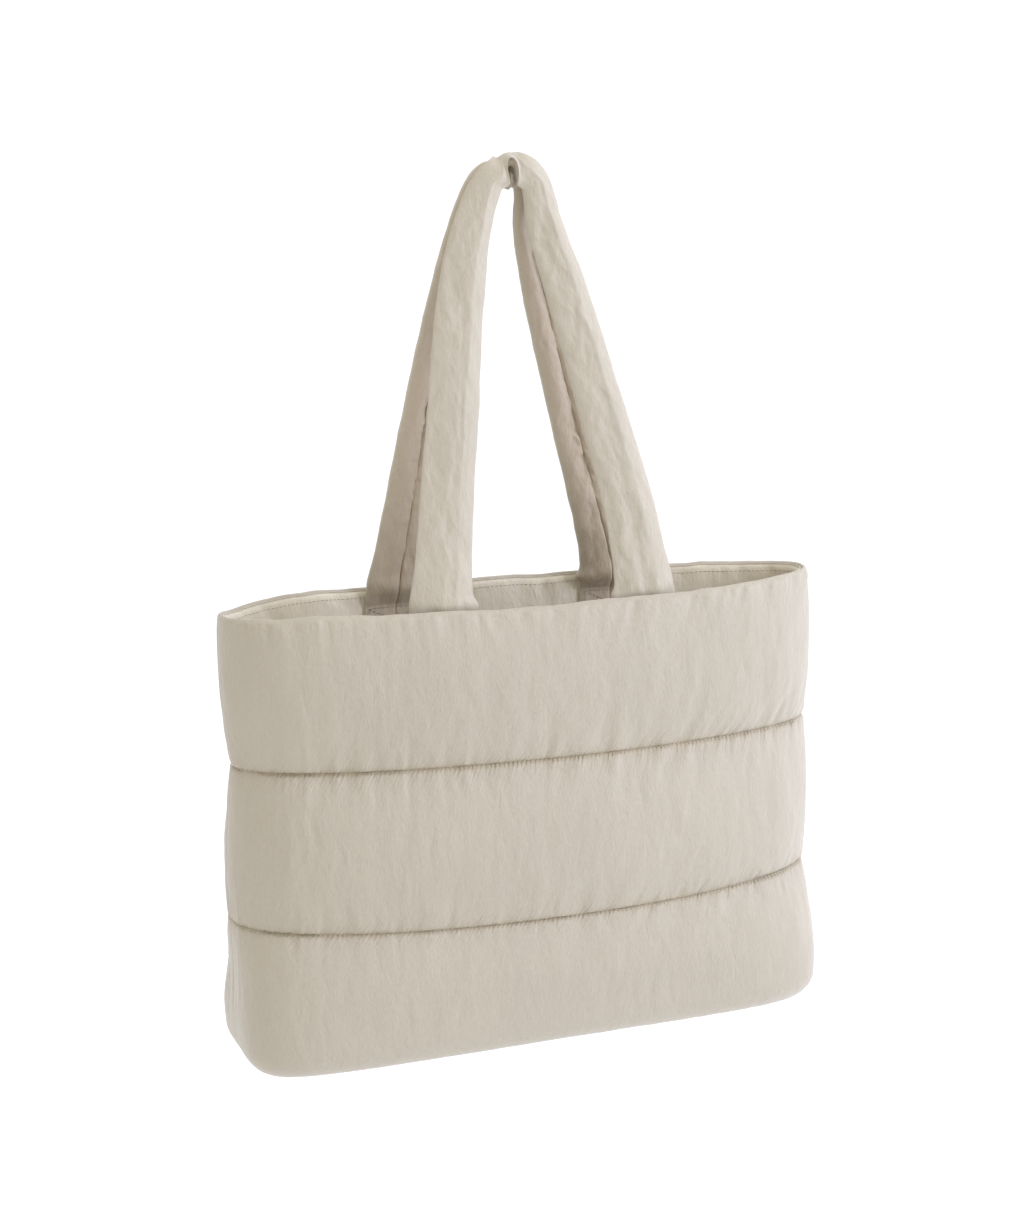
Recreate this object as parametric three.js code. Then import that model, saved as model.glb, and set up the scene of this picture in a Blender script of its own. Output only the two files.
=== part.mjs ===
import * as THREE from 'three';

// A padded tote bag with three quilted channels, hanging by its two padded shoulder straps.
// Lengths are in millimetres: +X runs to the right along the front, +Y to the back and +Z up.
// The origin is the point under the gathered straps where the bag hangs.

// Body sizes. The width and the mouth are those of the cloth at its seams, before the padding puffs out.
// The mouth's two depths run from the side seams to the front rim and to the back rim. Each seam puff is
// the share of the padding that is left at that seam.
const BODY_WIDTH = 480;
const BODY_HEIGHT = 357;
const BASE_DEPTH = 134;
const MOUTH_FRONT = 51;
const MOUTH_BACK = 58;
const BODY_OFFSET = 15.5;
const PAD_OUTWARD = 10;
const PAD_INWARD = 4;
const SEAM_THICKNESS = 3.5;
const SIDE_SEAM_REACH = 60;
const BOTTOM_SEAM_REACH = 14;
const BASE_EDGE_RADIUS = 18;
const SIDE_SEAM_PUFF = 0.35;
const BOTTOM_SEAM_PUFF = 0.3;
const LINING_THICKNESS = 1.2;

// Strap sizes. The rise runs from the rim at the side seams up to the hanging point.
const STRAP_RISE = 303;
const FRONT_SPREAD = 166;
const BACK_SPREAD = 181;
const FRONT_CENTRE = 13.5;
const BACK_CENTRE = 12;
const STRAP_WIDTH = 52;
const STRAP_THICKNESS = 12;
const FOLDED_WIDTH = 24;
const FOLDED_THICKNESS = 14;
const CROWN_WIDTH = 30;
const CROWN_THICKNESS = 11.2;
const HOOK_ROOM = 6;
const ARCH_SPAN = 70;
const TAB_LENGTH = 38;
const TAB_THICKNESS = 3;

// Clearances between neighbouring pieces.
const SEAM_GAP = 0.3;
const LINING_GAP = 0.4;
const TAB_GAP = 0.7;
const STRAP_GAP = 1.6;

// Rows of the body from the rim to the base. drop, sag and tilt are shares of the body height: sag lowers
// the middle and tilt lowers the right end. shift and width are shares of the body width. mouth and base
// are the shares of the mouth's depth and of half the base depth that add up to the row's depth from the
// side seams. square is the outline's exponent: 2 is an ellipse, and a higher number is squarer. The last
// row is where the rounded base edge starts.
const BASE_EDGE_DROP = 1 - (PAD_OUTWARD + BASE_EDGE_RADIUS) / BODY_HEIGHT;
const LEVELS = [
  {
    name: 'rim', drop: 0, sag: 0.014, tilt: 0.010, shift: -0.010,
    width: 1, mouth: 1, base: 0, square: 2.5,
  },
  {
    name: 'upper_seam', drop: 0.335, sag: 0.006, tilt: 0.018, shift: 0,
    width: 0.99, mouth: 0.6, base: 0.33, square: 2.3,
  },
  {
    name: 'lower_seam', drop: 0.67, sag: 0.026, tilt: 0.014, shift: 0,
    width: 1, mouth: 0, base: 0.89, square: 2.7,
  },
  {
    name: 'base', drop: BASE_EDGE_DROP, sag: 0, tilt: 0, shift: 0,
    width: 0.97, mouth: 0, base: 0.85, square: 6,
  },
];

// Rows of a strap's leg, from the rim (rise 0) to the foot of the arch (rise 1). Each leg column is the
// share of its sideways run that is left at that height. fold goes from the flat strap to the folded one.
const LEG_ROWS = [
  { rise: 0.025, frontLeft: 0.99, frontRight: 0.985, backLeft: 0.98, backRight: 0.975, fold: 0.03 },
  { rise: 0.10, frontLeft: 0.945, frontRight: 0.935, backLeft: 0.925, backRight: 0.90, fold: 0.22 },
  { rise: 0.24, frontLeft: 0.87, frontRight: 0.83, backLeft: 0.81, backRight: 0.74, fold: 0.34 },
  { rise: 0.50, frontLeft: 0.71, frontRight: 0.55, backLeft: 0.60, backRight: 0.44, fold: 0.52 },
  { rise: 0.75, frontLeft: 0.53, frontRight: 0.27, backLeft: 0.35, backRight: 0.17, fold: 0.64 },
  { rise: 0.90, frontLeft: 0.33, frontRight: 0.08, backLeft: 0.17, backRight: 0.04, fold: 0.80 },
];

// Rows of a strap's end below the rim. below is a share of the tab length, and pad goes from the flat
// tab (0) to the full thickness of the strap (1).
const TAB_ROWS = [
  { below: 1, pad: 0 },
  { below: 0.62, pad: 0 },
  { below: 0.32, pad: 0.02 },
  { below: 0.22, pad: 0.3 },
  { below: 0.05, pad: 0.8 },
];

// Rows of the arch from its foot to the crown. reach is a share of the arch's span to each side, turn a
// share of the right angle that the stacked straps turn through, and flat goes from the folded strap's
// section to the crown's.
const ARCH_ROWS = [
  { reach: 1, turn: 0.15, flat: 0.2 },
  { reach: 0.86, turn: 0.42, flat: 0.6 },
  { reach: 0.66, turn: 0.68, flat: 0.85 },
  { reach: 0.36, turn: 0.87, flat: 0.95 },
  { reach: 0, turn: 1, flat: 1 },
];

// side is -1 for the front strap and 1 for the back one, and legs names their columns in LEG_ROWS.
const STRAPS = [
  {
    name: 'front_strap', side: -1, spread: FRONT_SPREAD, centre: FRONT_CENTRE,
    legs: ['frontLeft', 'frontRight'],
  },
  {
    name: 'back_strap', side: 1, spread: BACK_SPREAD, centre: BACK_CENTRE,
    legs: ['backLeft', 'backRight'],
  },
];

// How finely the surfaces are divided, and the shares across each stretch at which its rows lie.
const COLUMNS = 25;
const OUTLINE_SAMPLES = 400;
const CHANNEL_STEPS = [0.07, 0.22, 0.5, 0.78, 0.93, 1];
const LOWER_STEPS = [0.1, 0.32, 0.66, 1];
const EDGE_STEPS = 3;
const BASE_STEPS = [0.5, 1];
const SECTION_SIDES = 12;
const SECTIONS_PER_STATION = 2;

// Exponents of the strap's section, from the flat tab to the padded strap, and the crowding of the body's
// columns towards the side seams.
const TAB_SQUARE = 5;
const STRAP_SQUARE = 2.6;
const COLUMN_CROWDING = 0.11;

const lerp = THREE.MathUtils.lerp;
const smooth = (value) => THREE.MathUtils.smoothstep(value, 0, 1);
const Y_AXIS = new THREE.Vector3(0, 1, 0);

// The body's sizes at a share of its height below the rim, between the two levels around it.
function levelAt(side, drop) {
  const last = LEVELS.length - 1;
  let upper = 0;
  while (upper < last - 1 && drop > LEVELS[upper + 1].drop) {
    upper += 1;
  }
  const above = LEVELS[upper];
  const below = LEVELS[upper + 1];
  const share = THREE.MathUtils.clamp((drop - above.drop) / (below.drop - above.drop), 0, 1);
  const mix = (key) => lerp(above[key], below[key], share);
  return {
    sag: mix('sag') * BODY_HEIGHT,
    tilt: mix('tilt') * BODY_HEIGHT,
    middle: BODY_OFFSET + mix('shift') * BODY_WIDTH,
    halfWidth: mix('width') * BODY_WIDTH / 2,
    halfDepth: mix('mouth') * (side < 0 ? MOUTH_FRONT : MOUTH_BACK) + mix('base') * BASE_DEPTH / 2,
    square: mix('square'),
  };
}

// How far a channel puffs at a share of the way across it: pinched at its seams, full in the middle.
// The lower the power, the flatter the middle and the steeper the sides.
const PUFF_POWER = 0.6;
const channelPuff = (share) => Math.sin(Math.PI * share) ** PUFF_POWER;

// How far a row droops at x, a share of the half width from the middle.
const droop = (level, x) => level.sag * (1 - x * x) + level.tilt * (1 + x) / 2;

// Half of a level outline from the left side seam to the right one, as points with outward normals.
// The points lie closer together near the side seams, where the outline bends most.
function halfOutline(halfWidth, halfDepth, square) {
  const power = 2 / square;
  const dense = [];
  for (let step = 0; step <= OUTLINE_SAMPLES; step += 1) {
    const angle = Math.PI * step / OUTLINE_SAMPLES;
    const across = Math.cos(angle);
    dense.push(new THREE.Vector2(
      -halfWidth * Math.sign(across) * Math.abs(across) ** power,
      halfDepth * Math.sin(angle) ** power,
    ));
  }
  const lengths = [0];
  for (let step = 1; step <= OUTLINE_SAMPLES; step += 1) {
    lengths.push(lengths[step - 1] + dense[step].distanceTo(dense[step - 1]));
  }
  const total = lengths[OUTLINE_SAMPLES];
  const points = [];
  let step = 1;
  for (let column = 0; column <= COLUMNS; column += 1) {
    const even = column / COLUMNS;
    const reach = total * (even - COLUMN_CROWDING * Math.sin(2 * Math.PI * even));
    while (step < OUTLINE_SAMPLES && lengths[step] < reach) {
      step += 1;
    }
    const share = (reach - lengths[step - 1]) / (lengths[step] - lengths[step - 1]);
    const point = dense[step - 1].clone().lerp(dense[step], THREE.MathUtils.clamp(share, 0, 1));
    const atSeam = column === 0 || column === COLUMNS;
    if (atSeam) {
      point.set(column === 0 ? -halfWidth : halfWidth, 0);
    }
    const normal = new THREE.Vector2(
      Math.sign(point.x) * (Math.abs(point.x) / halfWidth) ** (square - 1) / halfWidth,
      atSeam ? 0 : (point.y / halfDepth) ** (square - 1) / halfDepth,
    ).normalize();
    points.push({ x: point.x, y: point.y, normal, fromSeam: Math.min(reach, total - reach) });
  }
  return points;
}

// The rows of one panel from the rim to the bottom seam: the three channels, of which the lowest goes
// round the base edge and on to the middle of the base.
function panelRows() {
  const rows = [{ drop: 0, puff: 0, edge: 0, inward: 0 }];
  for (let channel = 0; channel < 2; channel += 1) {
    for (const share of CHANNEL_STEPS) {
      rows.push({
        drop: lerp(LEVELS[channel].drop, LEVELS[channel + 1].drop, share),
        puff: share === 1 ? 0 : channelPuff(share),
        edge: 0,
        inward: 0,
      });
    }
  }
  for (const share of LOWER_STEPS) {
    const drop = lerp(LEVELS[2].drop, BASE_EDGE_DROP, share);
    rows.push({ drop, puff: channelPuff(share / 2), edge: 0, inward: 0 });
  }
  for (let step = 1; step <= EDGE_STEPS; step += 1) {
    rows.push({ drop: BASE_EDGE_DROP, puff: 1, edge: Math.PI / 2 * step / EDGE_STEPS, inward: 0 });
  }
  for (const share of BASE_STEPS) {
    const puff = share === 1 ? BOTTOM_SEAM_PUFF : 1;
    rows.push({ drop: BASE_EDGE_DROP, puff, edge: Math.PI / 2, inward: share });
  }
  return rows;
}

// Every row of the seam surface, as points with outward normals and the share of puff at each point.
// side is -1 for the front half and 1 for the back half.
function seamSurface(side) {
  return panelRows().map((row) => {
    const level = levelAt(side, row.drop);
    const outline = halfOutline(level.halfWidth, level.halfDepth, level.square);
    const turned = BASE_EDGE_RADIUS * (1 - Math.cos(row.edge));
    const flatStart = level.halfDepth - turned - BOTTOM_SEAM_REACH;
    const onBase = row.inward > 0;
    const inset = onBase ? turned + (row.inward === 1 ? level.halfDepth - turned : flatStart) : turned;
    const scaleX = (level.halfWidth - inset) / level.halfWidth;
    const scaleY = (level.halfDepth - inset) / level.halfDepth;
    const below = BODY_HEIGHT * row.drop + BASE_EDGE_RADIUS * Math.sin(row.edge);
    const wall = Math.cos(row.edge);
    return outline.map((point) => {
      const x = point.x / level.halfWidth;
      const sideShare = lerp(SIDE_SEAM_PUFF, 1, smooth(point.fromSeam / SIDE_SEAM_REACH));
      return {
        x: level.middle + point.x * scaleX,
        y: point.y * scaleY,
        z: -STRAP_RISE - below - droop(level, x),
        normal: new THREE.Vector3(point.normal.x * wall, point.normal.y * wall, -Math.sin(row.edge)),
        puff: row.puff * (onBase ? 1 : sideShare),
      };
    });
  });
}

const outerFace = (point) => PAD_OUTWARD * point.puff;
const innerFace = (point) => -SEAM_THICKNESS - PAD_INWARD * point.puff;

// Moves a point of the seam surface along its normal, for the front or the back half.
function placed(point, side, outward, seamGap) {
  const move = outward(point);
  const y = Math.max(point.y + point.normal.y * move, 0) + seamGap / 2;
  return new THREE.Vector3(
    point.x + point.normal.x * move,
    side * y,
    point.z + point.normal.z * move,
  );
}

// Collects the faces of a closed mesh.
class Faces {
  constructor() {
    this.positions = [];
  }

  triangle(a, b, c) {
    for (const corner of [a, b, c]) {
      this.positions.push(corner.x, corner.y, corner.z);
    }
  }

  // Joins two rows of points that run the same way.
  strip(upper, lower) {
    for (let index = 0; index + 1 < upper.length; index += 1) {
      this.triangle(upper[index], lower[index], lower[index + 1]);
      this.triangle(upper[index], lower[index + 1], upper[index + 1]);
    }
  }

  // The same strip facing the other way, split along the same diagonals.
  stripBack(upper, lower) {
    for (let index = 0; index + 1 < upper.length; index += 1) {
      this.triangle(upper[index], lower[index + 1], lower[index]);
      this.triangle(upper[index], upper[index + 1], lower[index + 1]);
    }
  }

  geometry() {
    const geometry = new THREE.BufferGeometry();
    geometry.setAttribute('position', new THREE.Float32BufferAttribute(this.positions, 3));
    geometry.computeVertexNormals();
    return geometry;
  }
}

const reversed = (row) => [...row].reverse();
const columnOf = (rows, index) => rows.map((row) => row[index]);

// One padded half of the body: two faces joined along the rim, the side seams and the bottom seam.
function panelGeometry(surface, side) {
  const face = (outward) => surface.map((row) => {
    const points = row.map((point) => placed(point, side, outward, SEAM_GAP));
    return side < 0 ? points : reversed(points);
  });
  const outer = face(outerFace);
  const inner = face(innerFace);
  const faces = new Faces();
  for (let row = 0; row + 1 < outer.length; row += 1) {
    faces.strip(outer[row], outer[row + 1]);
    faces.stripBack(inner[row], inner[row + 1]);
  }
  const last = outer.length - 1;
  faces.strip(inner[0], outer[0]);
  faces.strip(outer[last], inner[last]);
  faces.strip(columnOf(outer, 0), columnOf(inner, 0));
  faces.strip(columnOf(inner, COLUMNS), columnOf(outer, COLUMNS));
  return faces.geometry();
}

// The lining: one thin bag inside both panels, following their inner faces at a small clearance.
function liningGeometry(frontSurface, backSurface) {
  const face = (depth) => frontSurface.slice(0, -1).map((row, index) => {
    const outward = (point) => innerFace(point) - depth;
    const front = row.map((point) => placed(point, -1, outward, 0));
    const back = backSurface[index].map((point) => placed(point, 1, outward, 0));
    return [...front, ...reversed(back).slice(1, -1), front[0]];
  });
  const outer = face(LINING_GAP);
  const inner = face(LINING_GAP + LINING_THICKNESS);
  const faces = new Faces();
  for (let row = 0; row + 1 < outer.length; row += 1) {
    faces.strip(outer[row], outer[row + 1]);
    faces.stripBack(inner[row], inner[row + 1]);
  }
  faces.strip(inner[0], outer[0]);
  const across = (ring, index) => ring[(2 * COLUMNS - index) % (2 * COLUMNS)];
  const bottomOut = outer[outer.length - 1];
  const bottomIn = inner[inner.length - 1];
  for (let index = 0; index < COLUMNS; index += 1) {
    const next = index + 1;
    faces.triangle(bottomOut[index], across(bottomOut, next), bottomOut[next]);
    faces.triangle(bottomIn[index], bottomIn[next], across(bottomIn, next));
    if (index > 0) {
      faces.triangle(bottomOut[index], across(bottomOut, index), across(bottomOut, next));
      faces.triangle(bottomIn[index], across(bottomIn, next), across(bottomIn, index));
    }
  }
  return faces.geometry();
}

// Where the lining's inner face lies at x and a depth below the rim, with its outward normal.
function liningAt(side, x, below) {
  const level = levelAt(side, below / BODY_HEIGHT);
  const puff = channelPuff(Math.max(below / BODY_HEIGHT / LEVELS[1].drop, 0));
  const acrossShare = Math.abs(x - level.middle) / level.halfWidth;
  const y = level.halfDepth * (1 - acrossShare ** level.square) ** (1 / level.square);
  const normal = new THREE.Vector3(
    Math.sign(x - level.middle) * acrossShare ** (level.square - 1) / level.halfWidth,
    side * (y / level.halfDepth) ** (level.square - 1) / level.halfDepth,
    0,
  ).normalize();
  const depth = SEAM_THICKNESS + PAD_INWARD * puff + LINING_GAP + LINING_THICKNESS;
  return { y: side * (y - depth / Math.abs(normal.y)), normal };
}

// The rim's height at x.
function rimHeight(x) {
  const level = levelAt(1, 0);
  return -STRAP_RISE - droop(level, (x - level.middle) / level.halfWidth);
}

// The arch over the hanging point. Both straps turn there as one stack, from one in front of the other
// on the legs to one above the other at the crown.
const ARCH_RADIUS = HOOK_ROOM + CROWN_THICKNESS + STRAP_GAP / 2;
const ARCH_FOOT = new THREE.Vector2(
  ARCH_RADIUS * Math.sin(THREE.MathUtils.degToRad(ARCH_SPAN)),
  ARCH_RADIUS * Math.cos(THREE.MathUtils.degToRad(ARCH_SPAN)) - HOOK_ROOM,
);

function archStation(strap, hand, row) {
  const angle = hand * row.reach * THREE.MathUtils.degToRad(ARCH_SPAN);
  const turn = row.turn * Math.PI / 2;
  const radial = new THREE.Vector3(Math.sin(angle), 0, Math.cos(angle));
  const stack = Y_AXIS.clone().multiplyScalar(-Math.cos(turn)).addScaledVector(radial, Math.sin(turn));
  const thickness = lerp(FOLDED_THICKNESS, CROWN_THICKNESS, row.flat);
  const centre = radial.clone().multiplyScalar(ARCH_RADIUS);
  centre.z -= HOOK_ROOM;
  centre.addScaledVector(stack, -strap.side * (thickness + STRAP_GAP) / 2);
  return {
    centre,
    along: Y_AXIS.clone().cross(radial),
    normal: stack.multiplyScalar(-strap.side),
    width: lerp(FOLDED_WIDTH, CROWN_WIDTH, row.flat),
    thickness,
    square: STRAP_SQUARE,
  };
}

// One end of a strap from its tab up to the foot of the arch. hand is -1 on the left and 1 on the right.
function legStations(strap, hand) {
  const foot = strap.centre + hand * strap.spread / 2;
  const rim = rimHeight(foot);
  const face = liningAt(strap.side, foot, 0);
  const stations = TAB_ROWS.map((row) => {
    const wall = liningAt(strap.side, foot, row.below * TAB_LENGTH);
    const thickness = lerp(TAB_THICKNESS, STRAP_THICKNESS, row.pad);
    const centre = new THREE.Vector3(foot, wall.y, rim - row.below * TAB_LENGTH);
    centre.addScaledVector(wall.normal, -TAB_GAP - thickness / 2);
    const square = lerp(TAB_SQUARE, STRAP_SQUARE, row.pad);
    return { centre, normal: wall.normal, width: STRAP_WIDTH, thickness, square };
  });
  const start = face.y - strap.side * (TAB_GAP + STRAP_THICKNESS / 2);
  const finish = strap.side * (FOLDED_THICKNESS + STRAP_GAP) / 2;
  const legColumn = strap.legs[hand < 0 ? 0 : 1];
  const facing = new THREE.Vector3(0, strap.side, 0);
  for (const row of LEG_ROWS) {
    stations.push({
      centre: new THREE.Vector3(
        lerp(hand * ARCH_FOOT.x, foot, row[legColumn]),
        lerp(start, finish, row.rise),
        lerp(rim, ARCH_FOOT.y, row.rise),
      ),
      normal: face.normal.clone().lerp(facing, smooth(row.rise * 4)),
      width: lerp(STRAP_WIDTH, FOLDED_WIDTH, row.fold),
      thickness: lerp(STRAP_THICKNESS, FOLDED_THICKNESS, row.fold),
      square: STRAP_SQUARE,
    });
  }
  return stations;
}

// One ring of points around the strap's path.
function strapSection(centre, along, normal, size) {
  const thick = normal.clone().addScaledVector(along, -normal.dot(along)).normalize();
  const wide = thick.clone().cross(along).normalize();
  const power = 2 / size.square;
  const ring = [];
  for (let side = 0; side <= SECTION_SIDES; side += 1) {
    const angle = 2 * Math.PI * (side % SECTION_SIDES) / SECTION_SIDES;
    const across = Math.sign(Math.cos(angle)) * Math.abs(Math.cos(angle)) ** power;
    const over = Math.sign(Math.sin(angle)) * Math.abs(Math.sin(angle)) ** power;
    const point = centre.clone().addScaledVector(wide, across * size.width / 2);
    ring.push(point.addScaledVector(thick, over * size.thickness / 2));
  }
  return ring;
}

// A strap: one padded tube from tab to tab, lofted along a smooth curve through all its stations.
function strapGeometry(strap) {
  const left = legStations(strap, -1);
  const right = legStations(strap, 1);
  const leftArch = ARCH_ROWS.map((row) => archStation(strap, -1, row));
  const rightArch = ARCH_ROWS.slice(0, -1).map((row) => archStation(strap, 1, row));
  const stations = [...left, ...leftArch, ...reversed(rightArch), ...reversed(right)];
  const last = stations.length - 1;
  const path = new THREE.CatmullRomCurve3(stations.map((station) => station.centre));
  const directions = stations.map((station, index) => station.along ?? path.getTangent(index / last));
  const count = last * SECTIONS_PER_STATION;
  const rings = [];
  for (let step = 0; step <= count; step += 1) {
    const index = Math.min(Math.floor(step / SECTIONS_PER_STATION), last - 1);
    const share = step / SECTIONS_PER_STATION - index;
    const before = stations[index];
    const after = stations[index + 1];
    const along = directions[index].clone().lerp(directions[index + 1], share).normalize();
    const normal = before.normal.clone().lerp(after.normal, share);
    const size = {
      width: lerp(before.width, after.width, share),
      thickness: lerp(before.thickness, after.thickness, share),
      square: lerp(before.square, after.square, share),
    };
    rings.push(strapSection(path.getPoint(step / count), along, normal, size));
  }
  const faces = new Faces();
  for (let index = 0; index + 1 < rings.length; index += 1) {
    faces.strip(rings[index + 1], rings[index]);
  }
  const middle = (ring) => ring.slice(1).reduce((sum, point) => sum.add(point), new THREE.Vector3())
    .divideScalar(SECTION_SIDES);
  const startMiddle = middle(rings[0]);
  const endMiddle = middle(rings[count]);
  for (let side = 0; side < SECTION_SIDES; side += 1) {
    faces.triangle(startMiddle, rings[0][side + 1], rings[0][side]);
    faces.triangle(endMiddle, rings[count][side], rings[count][side + 1]);
  }
  return faces.geometry();
}

function piece(name, geometry, color) {
  const material = new THREE.MeshStandardMaterial({ color, roughness: 0.72, metalness: 0 });
  const mesh = new THREE.Mesh(geometry, material);
  mesh.name = name;
  return mesh;
}

const SHELL_COLOR = 0xcbc4b6;
const LINING_COLOR = 0xbdb5a5;
const STRAP_COLOR = 0xc9c1b2;

const bag = new THREE.Group();
const frontSurface = seamSurface(-1);
const backSurface = seamSurface(1);
bag.add(piece('front_panel', panelGeometry(frontSurface, -1), SHELL_COLOR));
bag.add(piece('back_panel', panelGeometry(backSurface, 1), SHELL_COLOR));
bag.add(piece('lining', liningGeometry(frontSurface, backSurface), LINING_COLOR));
for (const strap of STRAPS) {
  bag.add(piece(strap.name, strapGeometry(strap), STRAP_COLOR));
}

export default bag;
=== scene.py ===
import math

import bmesh
import bpy
import numpy as np
from mathutils import Matrix, Vector


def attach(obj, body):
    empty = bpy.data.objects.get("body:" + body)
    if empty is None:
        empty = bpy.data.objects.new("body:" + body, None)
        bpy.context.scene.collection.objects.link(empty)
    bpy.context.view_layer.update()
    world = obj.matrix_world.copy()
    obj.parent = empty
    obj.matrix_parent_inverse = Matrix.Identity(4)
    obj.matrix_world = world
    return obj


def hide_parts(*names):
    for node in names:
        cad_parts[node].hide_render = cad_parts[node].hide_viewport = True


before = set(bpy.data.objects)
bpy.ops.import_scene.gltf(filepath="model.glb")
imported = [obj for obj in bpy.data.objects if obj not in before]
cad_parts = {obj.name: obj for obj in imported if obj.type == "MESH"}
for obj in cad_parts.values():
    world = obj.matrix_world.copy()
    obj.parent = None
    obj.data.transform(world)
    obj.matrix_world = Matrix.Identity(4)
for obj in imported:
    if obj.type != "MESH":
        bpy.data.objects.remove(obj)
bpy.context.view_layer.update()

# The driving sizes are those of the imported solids, but BASE_EDGE_RADIUS and CROWN_WIDTH are fitted closer to
# the photograph. All lengths are in metres.
MM = 0.001

BODY_WIDTH = 480 * MM
BODY_HEIGHT = 357 * MM
BASE_DEPTH = 134 * MM
MOUTH_FRONT = 51 * MM
MOUTH_BACK = 58 * MM
BODY_OFFSET = 15.5 * MM
PAD_OUTWARD = 10 * MM
PAD_INWARD = 4 * MM
SEAM_THICKNESS = 3.5 * MM
SIDE_SEAM_REACH = 60 * MM
BOTTOM_SEAM_REACH = 14 * MM
BASE_EDGE_RADIUS = 14 * MM
SIDE_SEAM_PUFF = 0.35
BOTTOM_SEAM_PUFF = 0.3
LINING_THICKNESS = 1.2 * MM

STRAP_RISE = 303 * MM
STRAP_WIDTH = 52 * MM
STRAP_THICKNESS = 12 * MM
FOLDED_WIDTH = 24 * MM
FOLDED_THICKNESS = 14 * MM
CROWN_WIDTH = 27 * MM
CROWN_THICKNESS = 11.2 * MM
HOOK_ROOM = 6 * MM
ARCH_SPAN = 70
TAB_LENGTH = 38 * MM
TAB_THICKNESS = 3 * MM

SEAM_GAP = 0.3 * MM
LINING_GAP = 0.4 * MM
TAB_GAP = 0.7 * MM
STRAP_GAP = 1.6 * MM

BASE_EDGE_DROP = 1 - (PAD_OUTWARD + BASE_EDGE_RADIUS) / BODY_HEIGHT
PUFF_POWER = 0.6
COLUMN_CROWDING = 0.11
TAB_SQUARE = 5
STRAP_SQUARE = 2.6


def table(columns, *rows):
    """Rows with named columns."""
    return [dict(zip(columns.split(), row)) for row in rows]


# Rows of the body from the rim to the base, close to the solids' table. corner is added to the outline's
# squareness on the right.
LEVELS = table(
    "drop sag tilt shift width mouth base square corner",
    (0, 0.014, 0.010, -0.010, 1, 1, 0, 2.5, 0),
    (0.335, 0.006, 0.018, 0, 0.99, 0.6, 0.33, 2.3, -0.3),
    (0.67, 0.026, 0.014, -0.005, 1, 0, 0.89, 2.7, -0.3),
    (BASE_EDGE_DROP, 0, 0, -0.003, 0.96, 0, 0.85, 6, 0),
)

# Rows of a strap's leg. Each leg column is the share of its sideways run that is left at that rise.
LEG_ROWS = table(
    "rise front_left front_right back_left back_right fold",
    (0.025, 0.99, 0.985, 0.98, 0.975, 0.03),
    (0.10, 0.945, 0.935, 0.925, 0.90, 0.22),
    (0.24, 0.87, 0.83, 0.81, 0.74, 0.34),
    (0.50, 0.71, 0.55, 0.60, 0.44, 0.52),
    (0.75, 0.53, 0.27, 0.35, 0.17, 0.64),
    (0.90, 0.30, 0.08, 0.17, 0.04, 0.80),
)

# Rows of a strap's end below the rim. below is a share of the tab's length, and pad goes from the flat tab to
# the padded strap.
TAB_ROWS = table("below pad", (1, 0), (0.62, 0), (0.32, 0.02), (0.22, 0.3), (0.05, 0.8))

# Rows of the arch from its left foot to its right one. turn is the share of the right angle that the stacked
# straps have turned through, draw the share of the arch's radius, and flat goes from folded to flat.
ARCH_ROWS = table(
    "reach turn draw flat",
    (-1, 0.05, 0.99, 0.45),
    (-0.78, 0.06, 0.94, 0.5),
    (-0.56, 0.08, 0.91, 0.5),
    (-0.42, 0.14, 0.88, 0.6),
    (-0.35, 0.4, 0.87, 0.7),
    (-0.28, 0.8, 0.84, 0.85),
    (-0.18, 1.15, 0.94, 1),
    (-0.04, 1.15, 0.97, 1),
    (0.05, 0.9, 0.96, 0.95),
    (0.12, 0.5, 0.9, 0.85),
    (0.19, 0.26, 0.87, 0.75),
    (0.30, 0.14, 0.88, 0.6),
    (0.52, 0.08, 0.91, 0.5),
    (0.78, 0.06, 0.93, 0.5),
    (1, 0.05, 0.98, 0.45),
)

# LEFT_SHIFT moves the arch's left foot outward, and FRONT_LEFT_SPARE widens the front strap's left leg.
LEFT_SHIFT = 4 * MM
FRONT_LEFT_SPARE = 4.5 * MM
STRAPS = {
    "front": dict(side=-1, spread=166 * MM, centre=13.5 * MM),
    "back": dict(side=1, spread=181 * MM, centre=12 * MM),
}


# Small numeric helpers.

def lerp(a, b, share):
    return a + (b - a) * share


def smooth(value):
    value = np.clip(value, 0, 1)
    return value * value * (3 - 2 * value)


def unit(vectors):
    return vectors / np.maximum(np.linalg.norm(vectors, axis=-1, keepdims=True), 1e-12)


def noise(u, v, seed, octaves=1):
    """Smooth noise from -1 to 1 over the plane of u and v, one bump to a unit."""
    total = np.zeros(np.broadcast(u, v).shape)
    strength = 1.0
    whole = 0.0
    for octave in range(octaves):
        total += strength * lattice_noise(u * 2 ** octave, v * 2 ** octave, seed + 17 * octave)
        whole += strength
        strength *= 0.5
    return total / whole


def lattice_noise(u, v, seed):
    def corner(i, j):
        value = np.sin(i * 127.1 + j * 311.7 + seed * 74.7) * 43758.5453
        return 2 * (value - np.floor(value)) - 1

    i, j = np.floor(u), np.floor(v)
    a, b = smooth(u - i), smooth(v - j)
    top = lerp(corner(i, j), corner(i + 1, j), a)
    bottom = lerp(corner(i, j + 1), corner(i + 1, j + 1), a)
    return lerp(top, bottom, b) * 1.4


# The body's surface.

# BACK_RIM_POINT makes the back rim less square, LEFT_DIP lowers the rim's left corner, and LOW_SEAM_PUFF
# fills the side seams at the base.
BACK_RIM_POINT = 0.5
LEFT_DIP = 4.5 * MM
LOW_SEAM_PUFF = 0.9
RIM_WAVE = 0.9 * MM
RIM_WAVE_LENGTH = 24 * MM
RIM_WAVE_DROP = 0.06
ROW_CROWDING = 0.7
BASE_ROW_CROWDING = 0.5


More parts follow.
